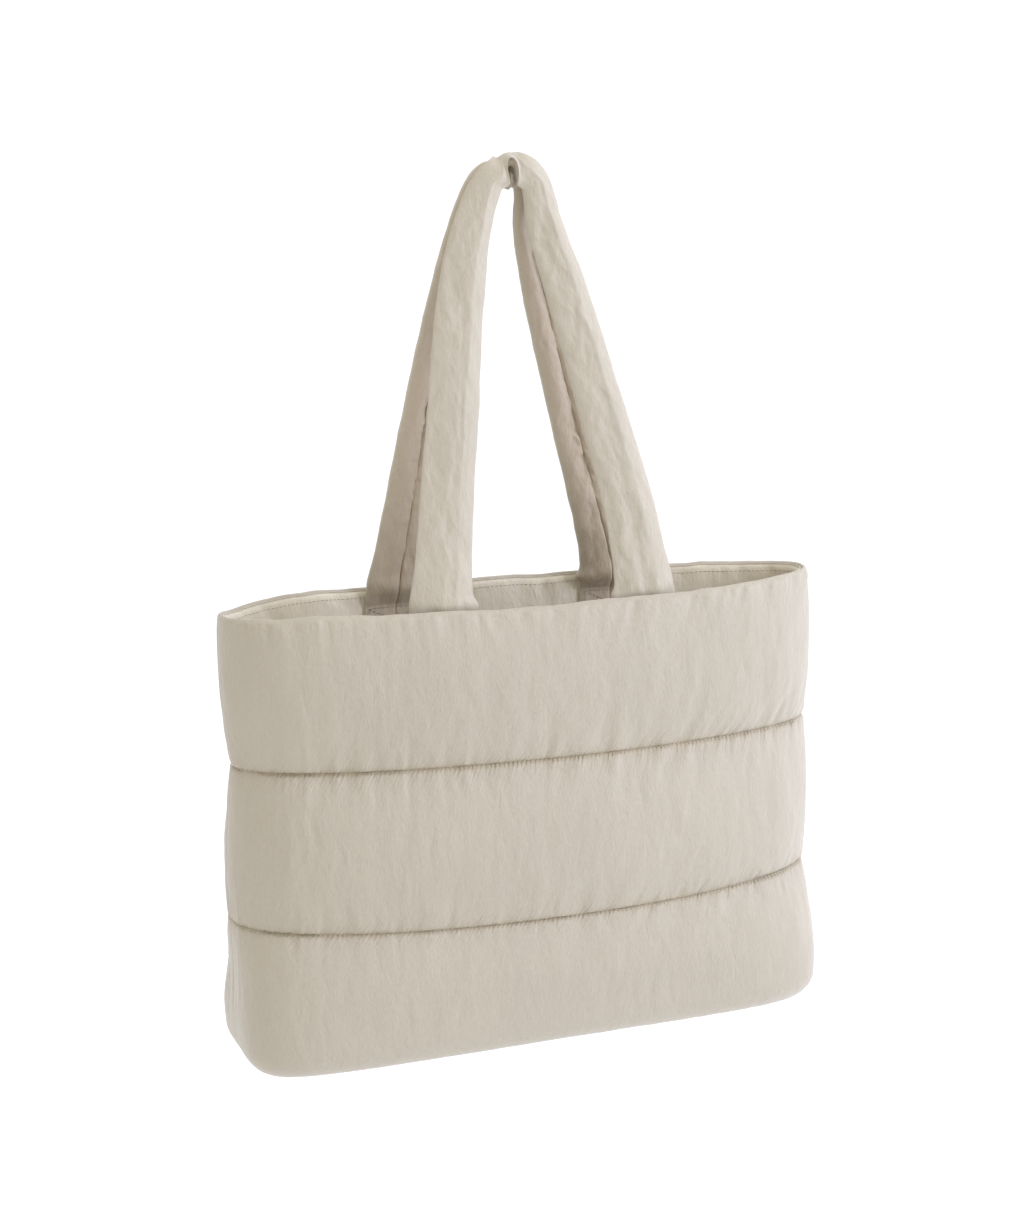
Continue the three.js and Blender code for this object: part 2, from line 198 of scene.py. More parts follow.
def level_at(side, drop):
    """The sizes of the body's outline at a drop below the rim, mixed from the rows of LEVELS."""
    last = len(LEVELS) - 1
    upper = 0
    while upper < last - 1 and drop > LEVELS[upper + 1]["drop"]:
        upper += 1
    above, below = LEVELS[upper], LEVELS[upper + 1]
    share = min(max((drop - above["drop"]) / (below["drop"] - above["drop"]), 0), 1)

    def mix(key):
        return lerp(above[key], below[key], share)

    mouth = MOUTH_FRONT if side < 0 else MOUTH_BACK
    pointed = BACK_RIM_POINT * (1 - share) if side > 0 and upper == 0 else 0
    return dict(
        sag=mix("sag") * BODY_HEIGHT,
        tilt=mix("tilt") * BODY_HEIGHT,
        middle=BODY_OFFSET + mix("shift") * BODY_WIDTH,
        half_width=mix("width") * BODY_WIDTH / 2,
        half_depth=mix("mouth") * mouth + mix("base") * BASE_DEPTH / 2,
        square=mix("square") - pointed,
        right_square=mix("square") - pointed + mix("corner"),
        dip=LEFT_DIP * (1 - share) if upper == 0 else 0,
    )


def droop(level, x):
    """How far a level line hangs down at x, from -1 at the left side seam to 1 at the right one."""
    dip = level["dip"] * smooth((-x - 0.7) / 0.3)
    return level["sag"] * (1 - x * x) + level["tilt"] * (1 + x) / 2 + dip


def channel_puff(share):
    return np.sin(np.pi * np.clip(share, 0, 1)) ** PUFF_POWER


OUTLINE_SAMPLES = 1600


def half_outline(level, columns):
    """Half of a level outline from the left side seam to the right one, with its normals."""
    half_width, half_depth = level["half_width"], level["half_depth"]
    angle = np.linspace(0, np.pi, OUTLINE_SAMPLES + 1)
    across = np.cos(angle)
    power = 2 / np.where(across > 0, level["square"], level["right_square"])
    dense_x = -half_width * np.sign(across) * np.abs(across) ** power
    dense_y = half_depth * np.abs(np.sin(angle)) ** power
    steps = np.hypot(np.diff(dense_x), np.diff(dense_y))
    lengths = np.concatenate([[0], np.cumsum(steps)])
    even = np.linspace(0, 1, columns + 1)
    reach = lengths[-1] * (even - COLUMN_CROWDING * np.sin(2 * np.pi * even))
    x = np.interp(reach, lengths, dense_x)
    y = np.interp(reach, lengths, dense_y)
    x[0], x[-1] = -half_width, half_width
    y[0] = y[-1] = 0
    square = np.where(x < 0, level["square"], level["right_square"])
    normal_x = np.sign(x) * (np.abs(x) / half_width) ** (square - 1) / half_width
    normal_y = (y / half_depth) ** (square - 1) / half_depth
    size = np.hypot(normal_x, normal_y)
    from_seam = np.minimum(reach, lengths[-1] - reach)
    return x, y, normal_x / size, normal_y / size, from_seam


CHANNEL_ROWS = 30
LOWER_ROWS = 16
EDGE_ROWS = 9
BASE_ROWS = 12


def body_row(drop, puff, share, edge=0.0, inward=0.0):
    return dict(drop=drop, puff=puff, edge=edge, inward=inward, share=share)


def panel_rows():
    """Rows of one panel from the rim to the bottom seam. share counts the channels from the rim down."""
    rows = [body_row(0, 0.0, 0.0)]
    for channel in range(2):
        for step in range(1, CHANNEL_ROWS + 1):
            even = step / CHANNEL_ROWS
            share = lerp(even, (1 - math.cos(math.pi * even)) / 2, ROW_CROWDING)
            drop = lerp(LEVELS[channel]["drop"], LEVELS[channel + 1]["drop"], share)
            puff = 0.0 if step == CHANNEL_ROWS else float(channel_puff(share))
            rows.append(body_row(drop, puff, channel + share))
    for step in range(1, LOWER_ROWS + 1):
        even = step / LOWER_ROWS
        share = lerp(even, 1 - math.cos(math.pi / 2 * even), ROW_CROWDING)
        drop = lerp(LEVELS[2]["drop"], BASE_EDGE_DROP, share)
        rows.append(body_row(drop, float(channel_puff(share / 2)), 2 + share))
    for step in range(1, EDGE_ROWS + 1):
        rows.append(body_row(BASE_EDGE_DROP, 1.0, 3.0, math.pi / 2 * step / EDGE_ROWS))
    for step in range(1, BASE_ROWS + 1):
        even = step / BASE_ROWS
        share = lerp(even, math.sin(math.pi / 2 * even), BASE_ROW_CROWDING)
        rows.append(body_row(BASE_EDGE_DROP, 1.0, 3.0 + share, math.pi / 2, share))
    return rows


SEAM_ROWS = [CHANNEL_ROWS, 2 * CHANNEL_ROWS]
ROWS = panel_rows()
SHARES = np.array([row["share"] for row in ROWS])


def near_base(share):
    """0 over most of the body, rising to 1 just above the base."""
    return smooth((share - 2.3) / 0.6)


def seam_surface(side, columns):
    """Points, outward normals and puff of one half of the body, a row of points for each of ROWS."""
    points, normals, puffs = [], [], []
    for row in ROWS:
        level = level_at(side, row["drop"])
        half_width, half_depth = level["half_width"], level["half_depth"]
        x, y, normal_x, normal_y, from_seam = half_outline(level, columns)
        turned = BASE_EDGE_RADIUS * (1 - math.cos(row["edge"]))
        inset = turned + (half_depth - turned) * row["inward"]
        below = BODY_HEIGHT * row["drop"] + BASE_EDGE_RADIUS * math.sin(row["edge"])
        wall = math.cos(row["edge"])
        seam_puff = lerp(SIDE_SEAM_PUFF, LOW_SEAM_PUFF, near_base(row["share"]))
        side_share = lerp(seam_puff, 1, smooth(from_seam / SIDE_SEAM_REACH))
        px = level["middle"] + x * (half_width - inset) / half_width
        py = y * (half_depth - inset) / half_depth
        pz = -STRAP_RISE - below - droop(level, x / half_width)
        wave = noise(px / RIM_WAVE_LENGTH, 0 * px + side, 71, 2) * smooth(from_seam / (25 * MM))
        pz += RIM_WAVE * wave * (1 - smooth(row["drop"] / RIM_WAVE_DROP))
        if row["inward"] > 0:
            to_seam = half_depth * (1 - row["inward"])
            puff = lerp(BOTTOM_SEAM_PUFF, 1, smooth(to_seam / BOTTOM_SEAM_REACH)) + 0 * x
        else:
            puff = row["puff"] * side_share
        points.append(np.stack([px, py, pz], axis=-1))
        down = np.full_like(x, -math.sin(row["edge"]))
        normals.append(np.stack([normal_x * wall, normal_y * wall, down], axis=-1))
        puffs.append(puff)
    return np.array(points), np.array(normals), np.array(puffs)


def placed(surface, side, outward, seam_gap):
    """The seam surface moved along its normals, for the front or the back half."""
    points, normals, puffs = surface
    moved = points + normals * outward(puffs)[..., None]
    moved[..., 1] = side * (np.maximum(moved[..., 1], 0) + seam_gap / 2)
    return moved


def outer_face(puff):
    return PAD_OUTWARD * puff


def inner_face(puff):
    return -SEAM_THICKNESS - PAD_INWARD * puff


# Mesh builders.

STITCH_STEP = 3.6 * MM

# The attributes away from any seam: gap is the distance from the seam and run the place along it, in mm.
FAR_GAP = 60
PLAIN = dict(run=0, gap=FAR_GAP)


class Sheets:
    """Collects grids of points and the faces between them into one mesh."""

    def __init__(self):
        self.points = []
        self.faces = []
        self.values = {}
        self.count = 0

    def add(self, grid, flip=False, **values):
        rows, columns = grid.shape[:2]
        index = self.count + np.arange(rows * columns).reshape(rows, columns)
        self.points.append(grid.reshape(-1, 3))
        for name, value in values.items():
            filled = np.broadcast_to(value, (rows, columns)).reshape(-1)
            self.values.setdefault(name, []).append(filled)
        self.count += rows * columns
        corners = [index[:-1, :-1], index[1:, :-1], index[1:, 1:], index[:-1, 1:]]
        quads = np.stack(corners, axis=-1).reshape(-1, 4)
        self.faces.extend((quads[:, ::-1] if flip else quads).tolist())
        return index

    def zip(self, first, second, flip=False):
        """Joins two rows of points of any lengths, from their common start to their common end."""
        i = j = 0
        while i < len(first) - 1 or j < len(second) - 1:
            next_i = (i + 1) / max(len(first) - 1, 1)
            next_j = (j + 1) / max(len(second) - 1, 1)
            if j == len(second) - 1 or (i < len(first) - 1 and next_i <= next_j):
                face = [int(first[i]), int(second[j]), int(first[i + 1])]
                i += 1
            else:
                face = [int(first[i]), int(second[j]), int(second[j + 1])]
                j += 1
            self.faces.append(face[::-1] if flip else face)

    def cap(self, ring, flip=False):
        """Closes one end of a tube."""
        face = ring[:-1].tolist()
        self.faces.append(face[::-1] if flip else face)

    def object(self, name):
        mesh = bpy.data.meshes.new(name)
        mesh.from_pydata(np.concatenate(self.points).tolist(), [], self.faces)
        mesh.update()
        mesh.polygons.foreach_set("use_smooth", [True] * len(mesh.polygons))
        for key, parts in self.values.items():
            layer = mesh.attributes.new(key, "FLOAT", "POINT")
            layer.data.foreach_set("value", np.concatenate(parts).astype(np.float32))
        obj = bpy.data.objects.new(name, mesh)
        bpy.context.collection.objects.link(obj)
        return obj

    def piece(self, name):
        """The object with the points joined that lie in one place."""
        obj = self.object(name)
        work = bmesh.new()
        work.from_mesh(obj.data)
        bmesh.ops.remove_doubles(work, verts=work.verts, dist=1e-6)
        work.to_mesh(obj.data)
        work.free()
        return obj


def refine(grid, breaks=()):
    """Doubles a grid both ways with a smooth curve through its points, keeping creases at the break rows."""
    parts = []
    edges = [0, *breaks, grid.shape[0] - 1]
    for start, end in zip(edges, edges[1:]):
        part = double(grid[start:end + 1])
        parts.append(part if end == grid.shape[0] - 1 else part[:-1])
    return double_across(np.concatenate(parts))


def double(grid):
    """Puts a row halfway between each two rows of a grid, on a cubic curve."""
    before = np.concatenate([2 * grid[:1] - grid[1:2], grid[:-2]])
    after = np.concatenate([grid[2:], 2 * grid[-1:] - grid[-2:-1]])
    middle = (9 * (grid[:-1] + grid[1:]) - before - after) / 16
    fine = np.empty((2 * grid.shape[0] - 1, *grid.shape[1:]))
    fine[0::2] = grid
    fine[1::2] = middle
    return fine


def double_across(grid):
    return np.swapaxes(double(np.swapaxes(grid, 0, 1)), 0, 1)


def to_side_seam(grid):
    """How many columns each column of a panel is away from the nearer side seam."""
    columns = np.arange(grid.shape[1])
    return np.minimum(columns, columns[::-1])


def grid_normals(grid):
    along = np.gradient(grid, axis=1)
    down = np.gradient(grid, axis=0)
    return unit(np.cross(down, along))


# Cloth simulation of one outer face, held at its seams.

SIM_FRAMES = 24
SIM_CAP = 7 * MM
CLOTH_SETTINGS = dict(
    quality=6, mass=0.15, air_damping=2, tension_stiffness=25, compression_stiffness=25, shear_stiffness=8,
    bending_stiffness=0.6, vertex_group_mass="held", use_pressure=True, uniform_pressure_force=4.0,
)


def simulate(name, grid, pattern, held):
    """The grid as Blender's Cloth puffs it from a flat pattern, with the held points still."""
    rows, columns = grid.shape[:2]
    sheets = Sheets()
    sheets.add(grid)
    obj = sheets.object(name)
    obj.shape_key_add(name="Basis")
    key = obj.shape_key_add(name="pattern")
    key.data.foreach_set("co", pattern.reshape(-1))
    key.value = 0
    group = obj.vertex_groups.new(name="held")
    group.add([int(i) for i in np.flatnonzero(held.reshape(-1))], 1.0, "REPLACE")
    modifier = obj.modifiers.new("cloth", "CLOTH")
    settings = modifier.settings
    for setting, value in CLOTH_SETTINGS.items():
        setattr(settings, setting, value)
    settings.rest_shape_key = key
    settings.effector_weights.gravity = 0
    modifier.collision_settings.use_collision = False
    modifier.collision_settings.use_self_collision = False
    modifier.point_cache.frame_start = 1
    modifier.point_cache.frame_end = SIM_FRAMES
    scene = bpy.context.scene
    for step in range(1, SIM_FRAMES + 1):
        scene.frame_set(step)
    evaluated = obj.evaluated_get(bpy.context.evaluated_depsgraph_get())
    moved = np.empty(rows * columns * 3)
    evaluated.data.vertices.foreach_get("co", moved)
    bpy.data.objects.remove(obj, do_unlink=True)
    scene.frame_set(1)
    move = moved.reshape(grid.shape) - grid
    length = np.linalg.norm(move, axis=-1, keepdims=True)
    return grid + move * np.minimum(1, SIM_CAP / np.maximum(length, 1e-9))


PANEL_COLUMNS = 170
GATHER = 1.045
SLACK = 1.01
START_PUSH = 0.5 * MM
CALM_COLUMNS = 14


def panel_outer(side, surface):
    """The puffed outer cloth of one half, from its flat pattern where the simulation runs."""
    grid = placed(surface, side, outer_face, SEAM_GAP)
    along = np.linalg.norm(np.diff(surface[0], axis=1), axis=-1)
    down = np.linalg.norm(np.diff(grid, axis=0), axis=-1)
    pattern_x = np.concatenate([np.zeros((grid.shape[0], 1)), np.cumsum(along, axis=1)], axis=1)
    gather = lerp(GATHER, 1, near_base(SHARES))[:, None]
    pattern_x = (pattern_x - pattern_x[:, -1:] / 2) * gather
    pattern_z = -np.concatenate([np.zeros((1, grid.shape[1])), np.cumsum(down, axis=0)]) * SLACK
    pattern = np.stack([pattern_x, np.zeros_like(pattern_x), pattern_z], axis=-1)
    held = np.zeros(grid.shape[:2], dtype=bool)
    held[[0, *SEAM_ROWS, -1]] = True
    held[:, [0, -1]] = True
    u = surface[0][..., 0] / (9 * MM)
    v = surface[0][..., 2] / (60 * MM)
    push = START_PUSH * noise(u, v, 3 + side, 2) * ~held
    start = grid + unit(surface[1]) * [1, side, 1] * push[..., None]
    moved = simulate(f"panel{side}", start, pattern, held)
    return lerp(grid, moved, simulated_share(grid)[..., None])


def simulated_share(grid):
    """How much of the simulated move is kept: less at the side seams, the base, the left and the rim."""
    calm = smooth(to_side_seam(grid) / CALM_COLUMNS)[None, :]
    calm = calm * lerp(1, 0.15, smooth((SHARES - 2.5) / 0.4))[:, None]
    calm = calm * lerp(0.6, 1, smooth((grid[..., 0] + 160 * MM) / (200 * MM)))
    return calm * lerp(0.3, 1, smooth((SHARES - 0.1) / 0.5))[:, None]


RIM_ROWS = 6
RIM_ROLL = 1.3 * MM
INNER_STEP = 3


def make_quilt(name, side):
    """One padded half of the body, and the stitches of its quilting seams."""
    surface = seam_surface(side, PANEL_COLUMNS)
    outer = refine(panel_outer(side, surface), SEAM_ROWS)
    inner = placed(surface, side, inner_face, SEAM_GAP)
    inner = double_across(np.concatenate([inner[:-1:INNER_STEP], inner[-1:]]))
    outer, gap, run = with_puckers(outer, side, double(SHARES[:, None]))
    sheets = Sheets()
    flip = side > 0
    face = sheets.add(outer, flip, run=run, gap=gap)
    back = sheets.add(inner, not flip, **PLAIN)
    roll = np.linspace(0, 1, RIM_ROWS + 1)[:, None, None]
    rim = lerp(inner[:1], outer[:1], roll) + RIM_ROLL * np.sin(np.pi * roll) * [0, 0, 1]
    sheets.add(rim, flip, **PLAIN)
    sheets.zip(face[-1], back[-1], not flip)
    sheets.zip(face[:, 0], back[:, 0], not flip)
    sheets.zip(face[:, -1], back[:, -1], flip)
    return sheets.piece(name), quilting_stitches(f"{name}_stitches", outer, side)


PUCKER_DEPTH = 1.1 * MM
PUCKER_REACH = 9 * MM
PUCKER_PITCH = 5.5 * MM
FOLD_DEPTH = 1.3 * MM
FOLD_REACH = 24 * MM
FOLD_PITCH = 13 * MM
FOLD_SLANT = 0.45
CRINKLE_DEPTH = 0.3 * MM
CRINKLE_PITCH = 6 * MM
CREASE_DEPTH = 1.3 * MM
CREASE_REACH = 1.2 * MM


def with_puckers(grid, side, share):
    """The panel with gathers, folds and crinkles beside its seams, and each point's gap and run."""
    normals = grid_normals(grid) * -side
    steps = np.linalg.norm(np.diff(grid, axis=1), axis=-1).mean(axis=0)
    x, z = grid[..., 0], grid[..., 2]
    run = np.concatenate([[0], np.cumsum(steps)])[None, :] + 0 * x
    signed = np.full(x.shape, 1.0)
    for seam in (0.0, 1.0, 2.0):
        gap = (share - seam) * BODY_HEIGHT / 3 + 0 * x
        signed = np.where(np.abs(gap) < np.abs(signed), gap, signed)
    to_seam = np.abs(signed)
    rightward = smooth((x + 60 * MM) / (160 * MM))
    slanted = run + signed * FOLD_SLANT * rightward
    reach = PUCKER_REACH * (1 + 0.8 * noise(run / (21 * MM), share * 0.01 + 0 * x, 5 + side))
    fade = np.exp(-to_seam / np.maximum(reach, 2 * MM))
    rise = smooth(to_seam / (2.5 * MM))
    pucker = noise(slanted / PUCKER_PITCH, share.round() * 7 + 0 * x, 11 + side, 2) * fade * rise
    far = np.exp(-to_seam / FOLD_REACH) * smooth(to_seam / (5 * MM)) * lerp(0.25, 1, rightward)
    bend = 0.8 * noise(run / (40 * MM), z / (30 * MM), 7)
    fold = noise(slanted / FOLD_PITCH + bend, z / (60 * MM), 61 + side, 2) * far
    warp = 0.8 * noise(run / (28 * MM), z / (30 * MM), 31)
    crinkle = noise(run / CRINKLE_PITCH + warp, z / (22 * MM), 21 + side, 3) * smooth(to_seam / (8 * MM))
    depth = PUCKER_DEPTH * pucker + FOLD_DEPTH * fold + CRINKLE_DEPTH * crinkle
    depth = depth - CREASE_DEPTH * np.exp(-to_seam / CREASE_REACH) * (share > 0.5)
    depth = depth * smooth(to_side_seam(grid) / 5)[None, :] * np.where(share > 2.9, 0.35, 1)
    from_rim = share * BODY_HEIGHT / 3 + 0 * x
    gap = np.where(from_rim < FAR_GAP * MM, FAR_GAP * MM, to_seam)
    return grid + normals * depth[..., None], gap / MM, (run + 0.5 * signed) / MM


# The lining.

LINING_COLUMNS = 130
LINING_FOLD_DEPTH = 3.2 * MM
LINING_FOLD_PITCH = 13 * MM
LINING_FOLD_REACH = 40 * MM
RIM_STITCH_DEPTH = 4.5 * MM


def lining_folds(inner):
    """How far the lining's inside stands in, in slanting folds that fade downward from the rim."""
    x, z = inner[..., 0], inner[..., 2]
    below = np.maximum(inner[:1, :, 2] - z, 0)
    slant = x - FOLD_SLANT * below
    bend = noise(x / (60 * MM), z / (50 * MM), 3)
    gather = 1 - 2 * np.abs(noise(slant / LINING_FOLD_PITCH + bend, z / (80 * MM), 8, 2))
    fade = smooth(below / (2.5 * MM)) * np.exp(-below / LINING_FOLD_REACH)
    fade = fade * (0.45 + 0.55 * noise(x / (55 * MM), 0 * z, 14) ** 2)
    fade = fade * lerp(1, 1.9, smooth((np.abs(x - BODY_OFFSET) - 90 * MM) / (70 * MM)))
    return (gather * 0.5 + 0.5) * LINING_FOLD_DEPTH * fade


def make_lining(name):
    """The closed shell of the thin lining, and the topstitching near its rim."""
    front, back = seam_surface(-1, LINING_COLUMNS), seam_surface(1, LINING_COLUMNS)

    def ring(depth):
        halves = []
        for side, surface in ((-1, front), (1, back)):
            halves.append(placed(surface, side, lambda puff: inner_face(puff) - depth, 0)[:-1])
        return np.concatenate([halves[0], halves[1][:, ::-1][:, 1:]], axis=1)

    outer = ring(LINING_GAP)
    inner = ring(LINING_GAP + LINING_THICKNESS)
    centre = np.array([BODY_OFFSET, 0, 0])
    toward = unit((centre - inner) * [1, 1, 0])
    inner = inner + toward * lining_folds(inner)[..., None]
    sheets = Sheets()
    outside = sheets.add(outer, True, **PLAIN)
    inside = sheets.add(inner, False, **PLAIN)
    sheets.zip(outside[0], inside[0], True)
    sheets.zip([outside[0][-1], outside[0][0]], [inside[0][-1], inside[0][0]], True)
    for face, flip in ((outside, True), (inside, False)):
        half = face.shape[1] // 2
        near = face[-1, :half + 1]
        far = np.concatenate([[face[-1, -1]], face[-1, half:][::-1][1:]])
        sheets.zip(near, far, flip)
    return sheets.piece(name), rim_stitches("rim_stitches", inner)


# The straps.

def lining_at(side, x, below):
    """The lining's inside at x, that far below the rim: its y, and the wall's outward normal."""
    level = level_at(side, below / BODY_HEIGHT)
    puff = float(channel_puff(max(below / BODY_HEIGHT / LEVELS[1]["drop"], 0)))
    across = abs(x - level["middle"]) / level["half_width"]
    square = level["square"]
    y = level["half_depth"] * (1 - across ** square) ** (1 / square)
    normal = np.array([
        math.copysign(across ** (square - 1) / level["half_width"], x - level["middle"]),
        side * (y / level["half_depth"]) ** (square - 1) / level["half_depth"],
        0,
    ])
    normal /= np.linalg.norm(normal)
    depth = SEAM_THICKNESS + PAD_INWARD * puff + LINING_GAP + LINING_THICKNESS
    return side * (y - depth / abs(normal[1])), normal


def rim_height(x):
    level = level_at(1, 0)
    return -STRAP_RISE - droop(level, (x - level["middle"]) / level["half_width"])


ARCH_RADIUS = HOOK_ROOM + CROWN_THICKNESS + STRAP_GAP / 2
ARCH_FOOT_X = ARCH_RADIUS * math.sin(math.radians(ARCH_SPAN))
ARCH_FOOT_Z = ARCH_RADIUS * math.cos(math.radians(ARCH_SPAN)) - HOOK_ROOM


def station(centre, normal, width, thickness, square, along=None, crown=0.0, fold=0.0):
    return dict(
        centre=np.array(centre, float), normal=np.array(normal, float), width=width,
        thickness=thickness, square=square, along=along, crown=crown, fold=fold,
    )


def arch_station(side, row):
    """A section of the arch, where the two straps lie on each other and turn over together."""
    angle = row["reach"] * math.radians(ARCH_SPAN)
    turn = row["turn"] * math.pi / 2
    radial = np.array([math.sin(angle), 0, math.cos(angle)])
    stack = np.array([0, -math.cos(turn), 0]) + radial * math.sin(turn)
    thickness = lerp(FOLDED_THICKNESS, CROWN_THICKNESS, row["flat"])
    centre = radial * ARCH_RADIUS * row["draw"] - [0, 0, HOOK_ROOM]
    centre -= stack * side * (thickness + STRAP_GAP) / 2
    centre[0] -= LEFT_SHIFT * smooth(-row["reach"])
    along = np.cross([0, 1, 0], radial)
    width = lerp(FOLDED_WIDTH, CROWN_WIDTH, row["flat"])
    return station(centre, -side * stack, width, thickness, STRAP_SQUARE, along, row["flat"], 1.0)


def leg_stations(strap, key, hand):
    """The sections of one leg of a strap, from the end of its tab up to the arch."""
    side = strap["side"]
    foot = strap["centre"] + hand * strap["spread"] / 2
    rim = rim_height(foot)
    face_y, face_normal = lining_at(side, foot, 0)
    stations = []
    for row in TAB_ROWS:
        wall_y, wall_normal = lining_at(side, foot, row["below"] * TAB_LENGTH)
        thickness = lerp(TAB_THICKNESS, STRAP_THICKNESS, row["pad"])
        centre = np.array([foot, wall_y, rim - row["below"] * TAB_LENGTH])
        centre -= wall_normal * (TAB_GAP + thickness / 2)
        square = lerp(TAB_SQUARE, STRAP_SQUARE, row["pad"])
        stations.append(station(centre, wall_normal, STRAP_WIDTH, thickness, square))
    start = face_y - side * (TAB_GAP + STRAP_THICKNESS / 2)
    finish = side * (FOLDED_THICKNESS + STRAP_GAP) / 2
    column = f"{key}_{'left' if hand < 0 else 'right'}"
    arch_foot = ARCH_FOOT_X if hand > 0 else -ARCH_FOOT_X - LEFT_SHIFT
    for row in LEG_ROWS:
        centre = [
            lerp(arch_foot, foot, row[column]),
            lerp(start, finish, row["rise"]),
            lerp(rim, ARCH_FOOT_Z, row["rise"]),
        ]
        normal = lerp(face_normal, np.array([0, side, 0]), float(smooth(row["rise"] * 4)))
        width = lerp(STRAP_WIDTH, FOLDED_WIDTH, row["fold"])
        if key == "front" and hand < 0:
            spare = FRONT_LEFT_SPARE * math.sin(math.pi * row["rise"] ** 1.6)
            width += spare
            centre[0] += spare / 2
        thickness = lerp(STRAP_THICKNESS, FOLDED_THICKNESS, row["fold"])
        stations.append(station(centre, normal, width, thickness, STRAP_SQUARE, None, 0.0, row["fold"]))
    return stations


def strap_stations(key):
    strap = STRAPS[key]
    left = leg_stations(strap, key, -1)
    right = leg_stations(strap, key, 1)
    arch = [arch_station(strap["side"], row) for row in ARCH_ROWS]
    return left + arch + right[::-1]


def curve_point(points, place):
    """A smooth curve through the points, at a place counted in points, and its direction there."""
    last = len(points) - 1
    index = min(int(place), last - 1)
    share = place - index
    a, b = points[index], points[index + 1]
    before = points[index - 1] if index else 2 * a - b
    after = points[index + 2] if index + 2 <= last else 2 * b - a
    chords = ((before, a), (a, b), (b, after))
    step0, step1, step2 = (max(np.sum((q - p) ** 2) ** 0.25, 1e-4) for p, q in chords)
    start = ((a - before) / step0 - (b - before) / (step0 + step1) + (b - a) / step1) * step1
    end = ((b - a) / step1 - (after - a) / (step1 + step2) + (after - b) / step2) * step1
    c2 = -3 * a + 3 * b - 2 * start - end
    c3 = 2 * a - 2 * b + start + end
    point = a + start * share + c2 * share ** 2 + c3 * share ** 3
    return point, unit(start + 2 * c2 * share + 3 * c3 * share ** 2)


FACE_POINTS = 46
STRAP_STEP = 1.5 * MM
TRACK_STEPS = 60
STRAP_ROUND = 2.1
CROWN_SQUARE = 3.6
EDGE_TRIM = 0.5 * MM
FACE_TRIM = 0.3 * MM


def section_shape(square):
    """Across, over and hand, each from -1 to 1, round a strap's outer face and back along its inner one."""
    even = np.linspace(-1, 1, FACE_POINTS + 1)
    across = np.sign(even) * np.sin(np.pi / 2 * np.abs(even) ** 1.4)
    across = np.concatenate([across[::-1], across[1:]])[None, :]
    over = (1 - np.minimum(np.abs(across), 1) ** square) ** (1 / square)
    hand = np.concatenate([np.ones(FACE_POINTS + 1), -np.ones(FACE_POINTS)])[None, :]
    return across + 0 * over, over * hand, hand + 0 * over


def strap_grid(key):
    """The path's points and its two cross directions in steps of STRAP_STEP, and the facts at each."""
    stations = strap_stations(key)
    centres = [s["centre"] for s in stations]
    last = len(stations) - 1
    end = last - 1e-9
    dense = np.linspace(0, last, TRACK_STEPS * last + 1)
    track = np.array([curve_point(centres, min(t, end))[0] for t in dense])
    lengths = np.concatenate([[0], np.cumsum(np.linalg.norm(np.diff(track, axis=0), axis=1))])
    count = int(lengths[-1] / STRAP_STEP)
    places = np.interp(np.linspace(0, lengths[-1], count + 1), lengths, dense)
    directions = []
    for index, s in enumerate(stations):
        direction = curve_point(centres, min(index, end))[1]
        directions.append(direction if s["along"] is None else s["along"])
    facts = {name: [] for name in ("width", "thickness", "square", "crown", "fold")}
    middles, wides, thicks = [], [], []
    for place in places:
        index = min(int(place), last - 1)
        share = place - index
        before, after = stations[index], stations[index + 1]
        along = unit(lerp(directions[index], directions[index + 1], share))
        normal = lerp(before["normal"], after["normal"], share)
        thick = unit(normal - along * normal.dot(along))
        middles.append(curve_point(centres, min(place, end))[0])
        thicks.append(thick)
        wides.append(unit(np.cross(thick, along)))
        for name in facts:
            facts[name].append(lerp(before[name], after[name], share))
    facts = {name: np.array(values)[:, None] for name, values in facts.items()}
    facts["length"] = np.linspace(0, lengths[-1], count + 1)[:, None]
    facts["total"] = lengths[-1]
    return np.array(middles), np.array(wides), np.array(thicks), facts


SEAM_CREASE = 1.1 * MM
VALLEY_DEPTH = 4.5 * MM
VALLEY_SHARE = 0.33
LONG_FOLD_DEPTH = 0.6 * MM
SLANT_DEPTH = 1.0 * MM
RIDGE_DEPTH = 0.9 * MM
PLEAT_DEPTH = 0.7 * MM
LIP_DEPTH = 1.1 * MM
POCKET_DEPTH = 5 * MM
ROOF_RIDGE = 0.38
FLARE = 4 * MM
FLARE_PLACE = 41 * MM
FLARE_REACH = 6 * MM
CROWN_PASSES = 12


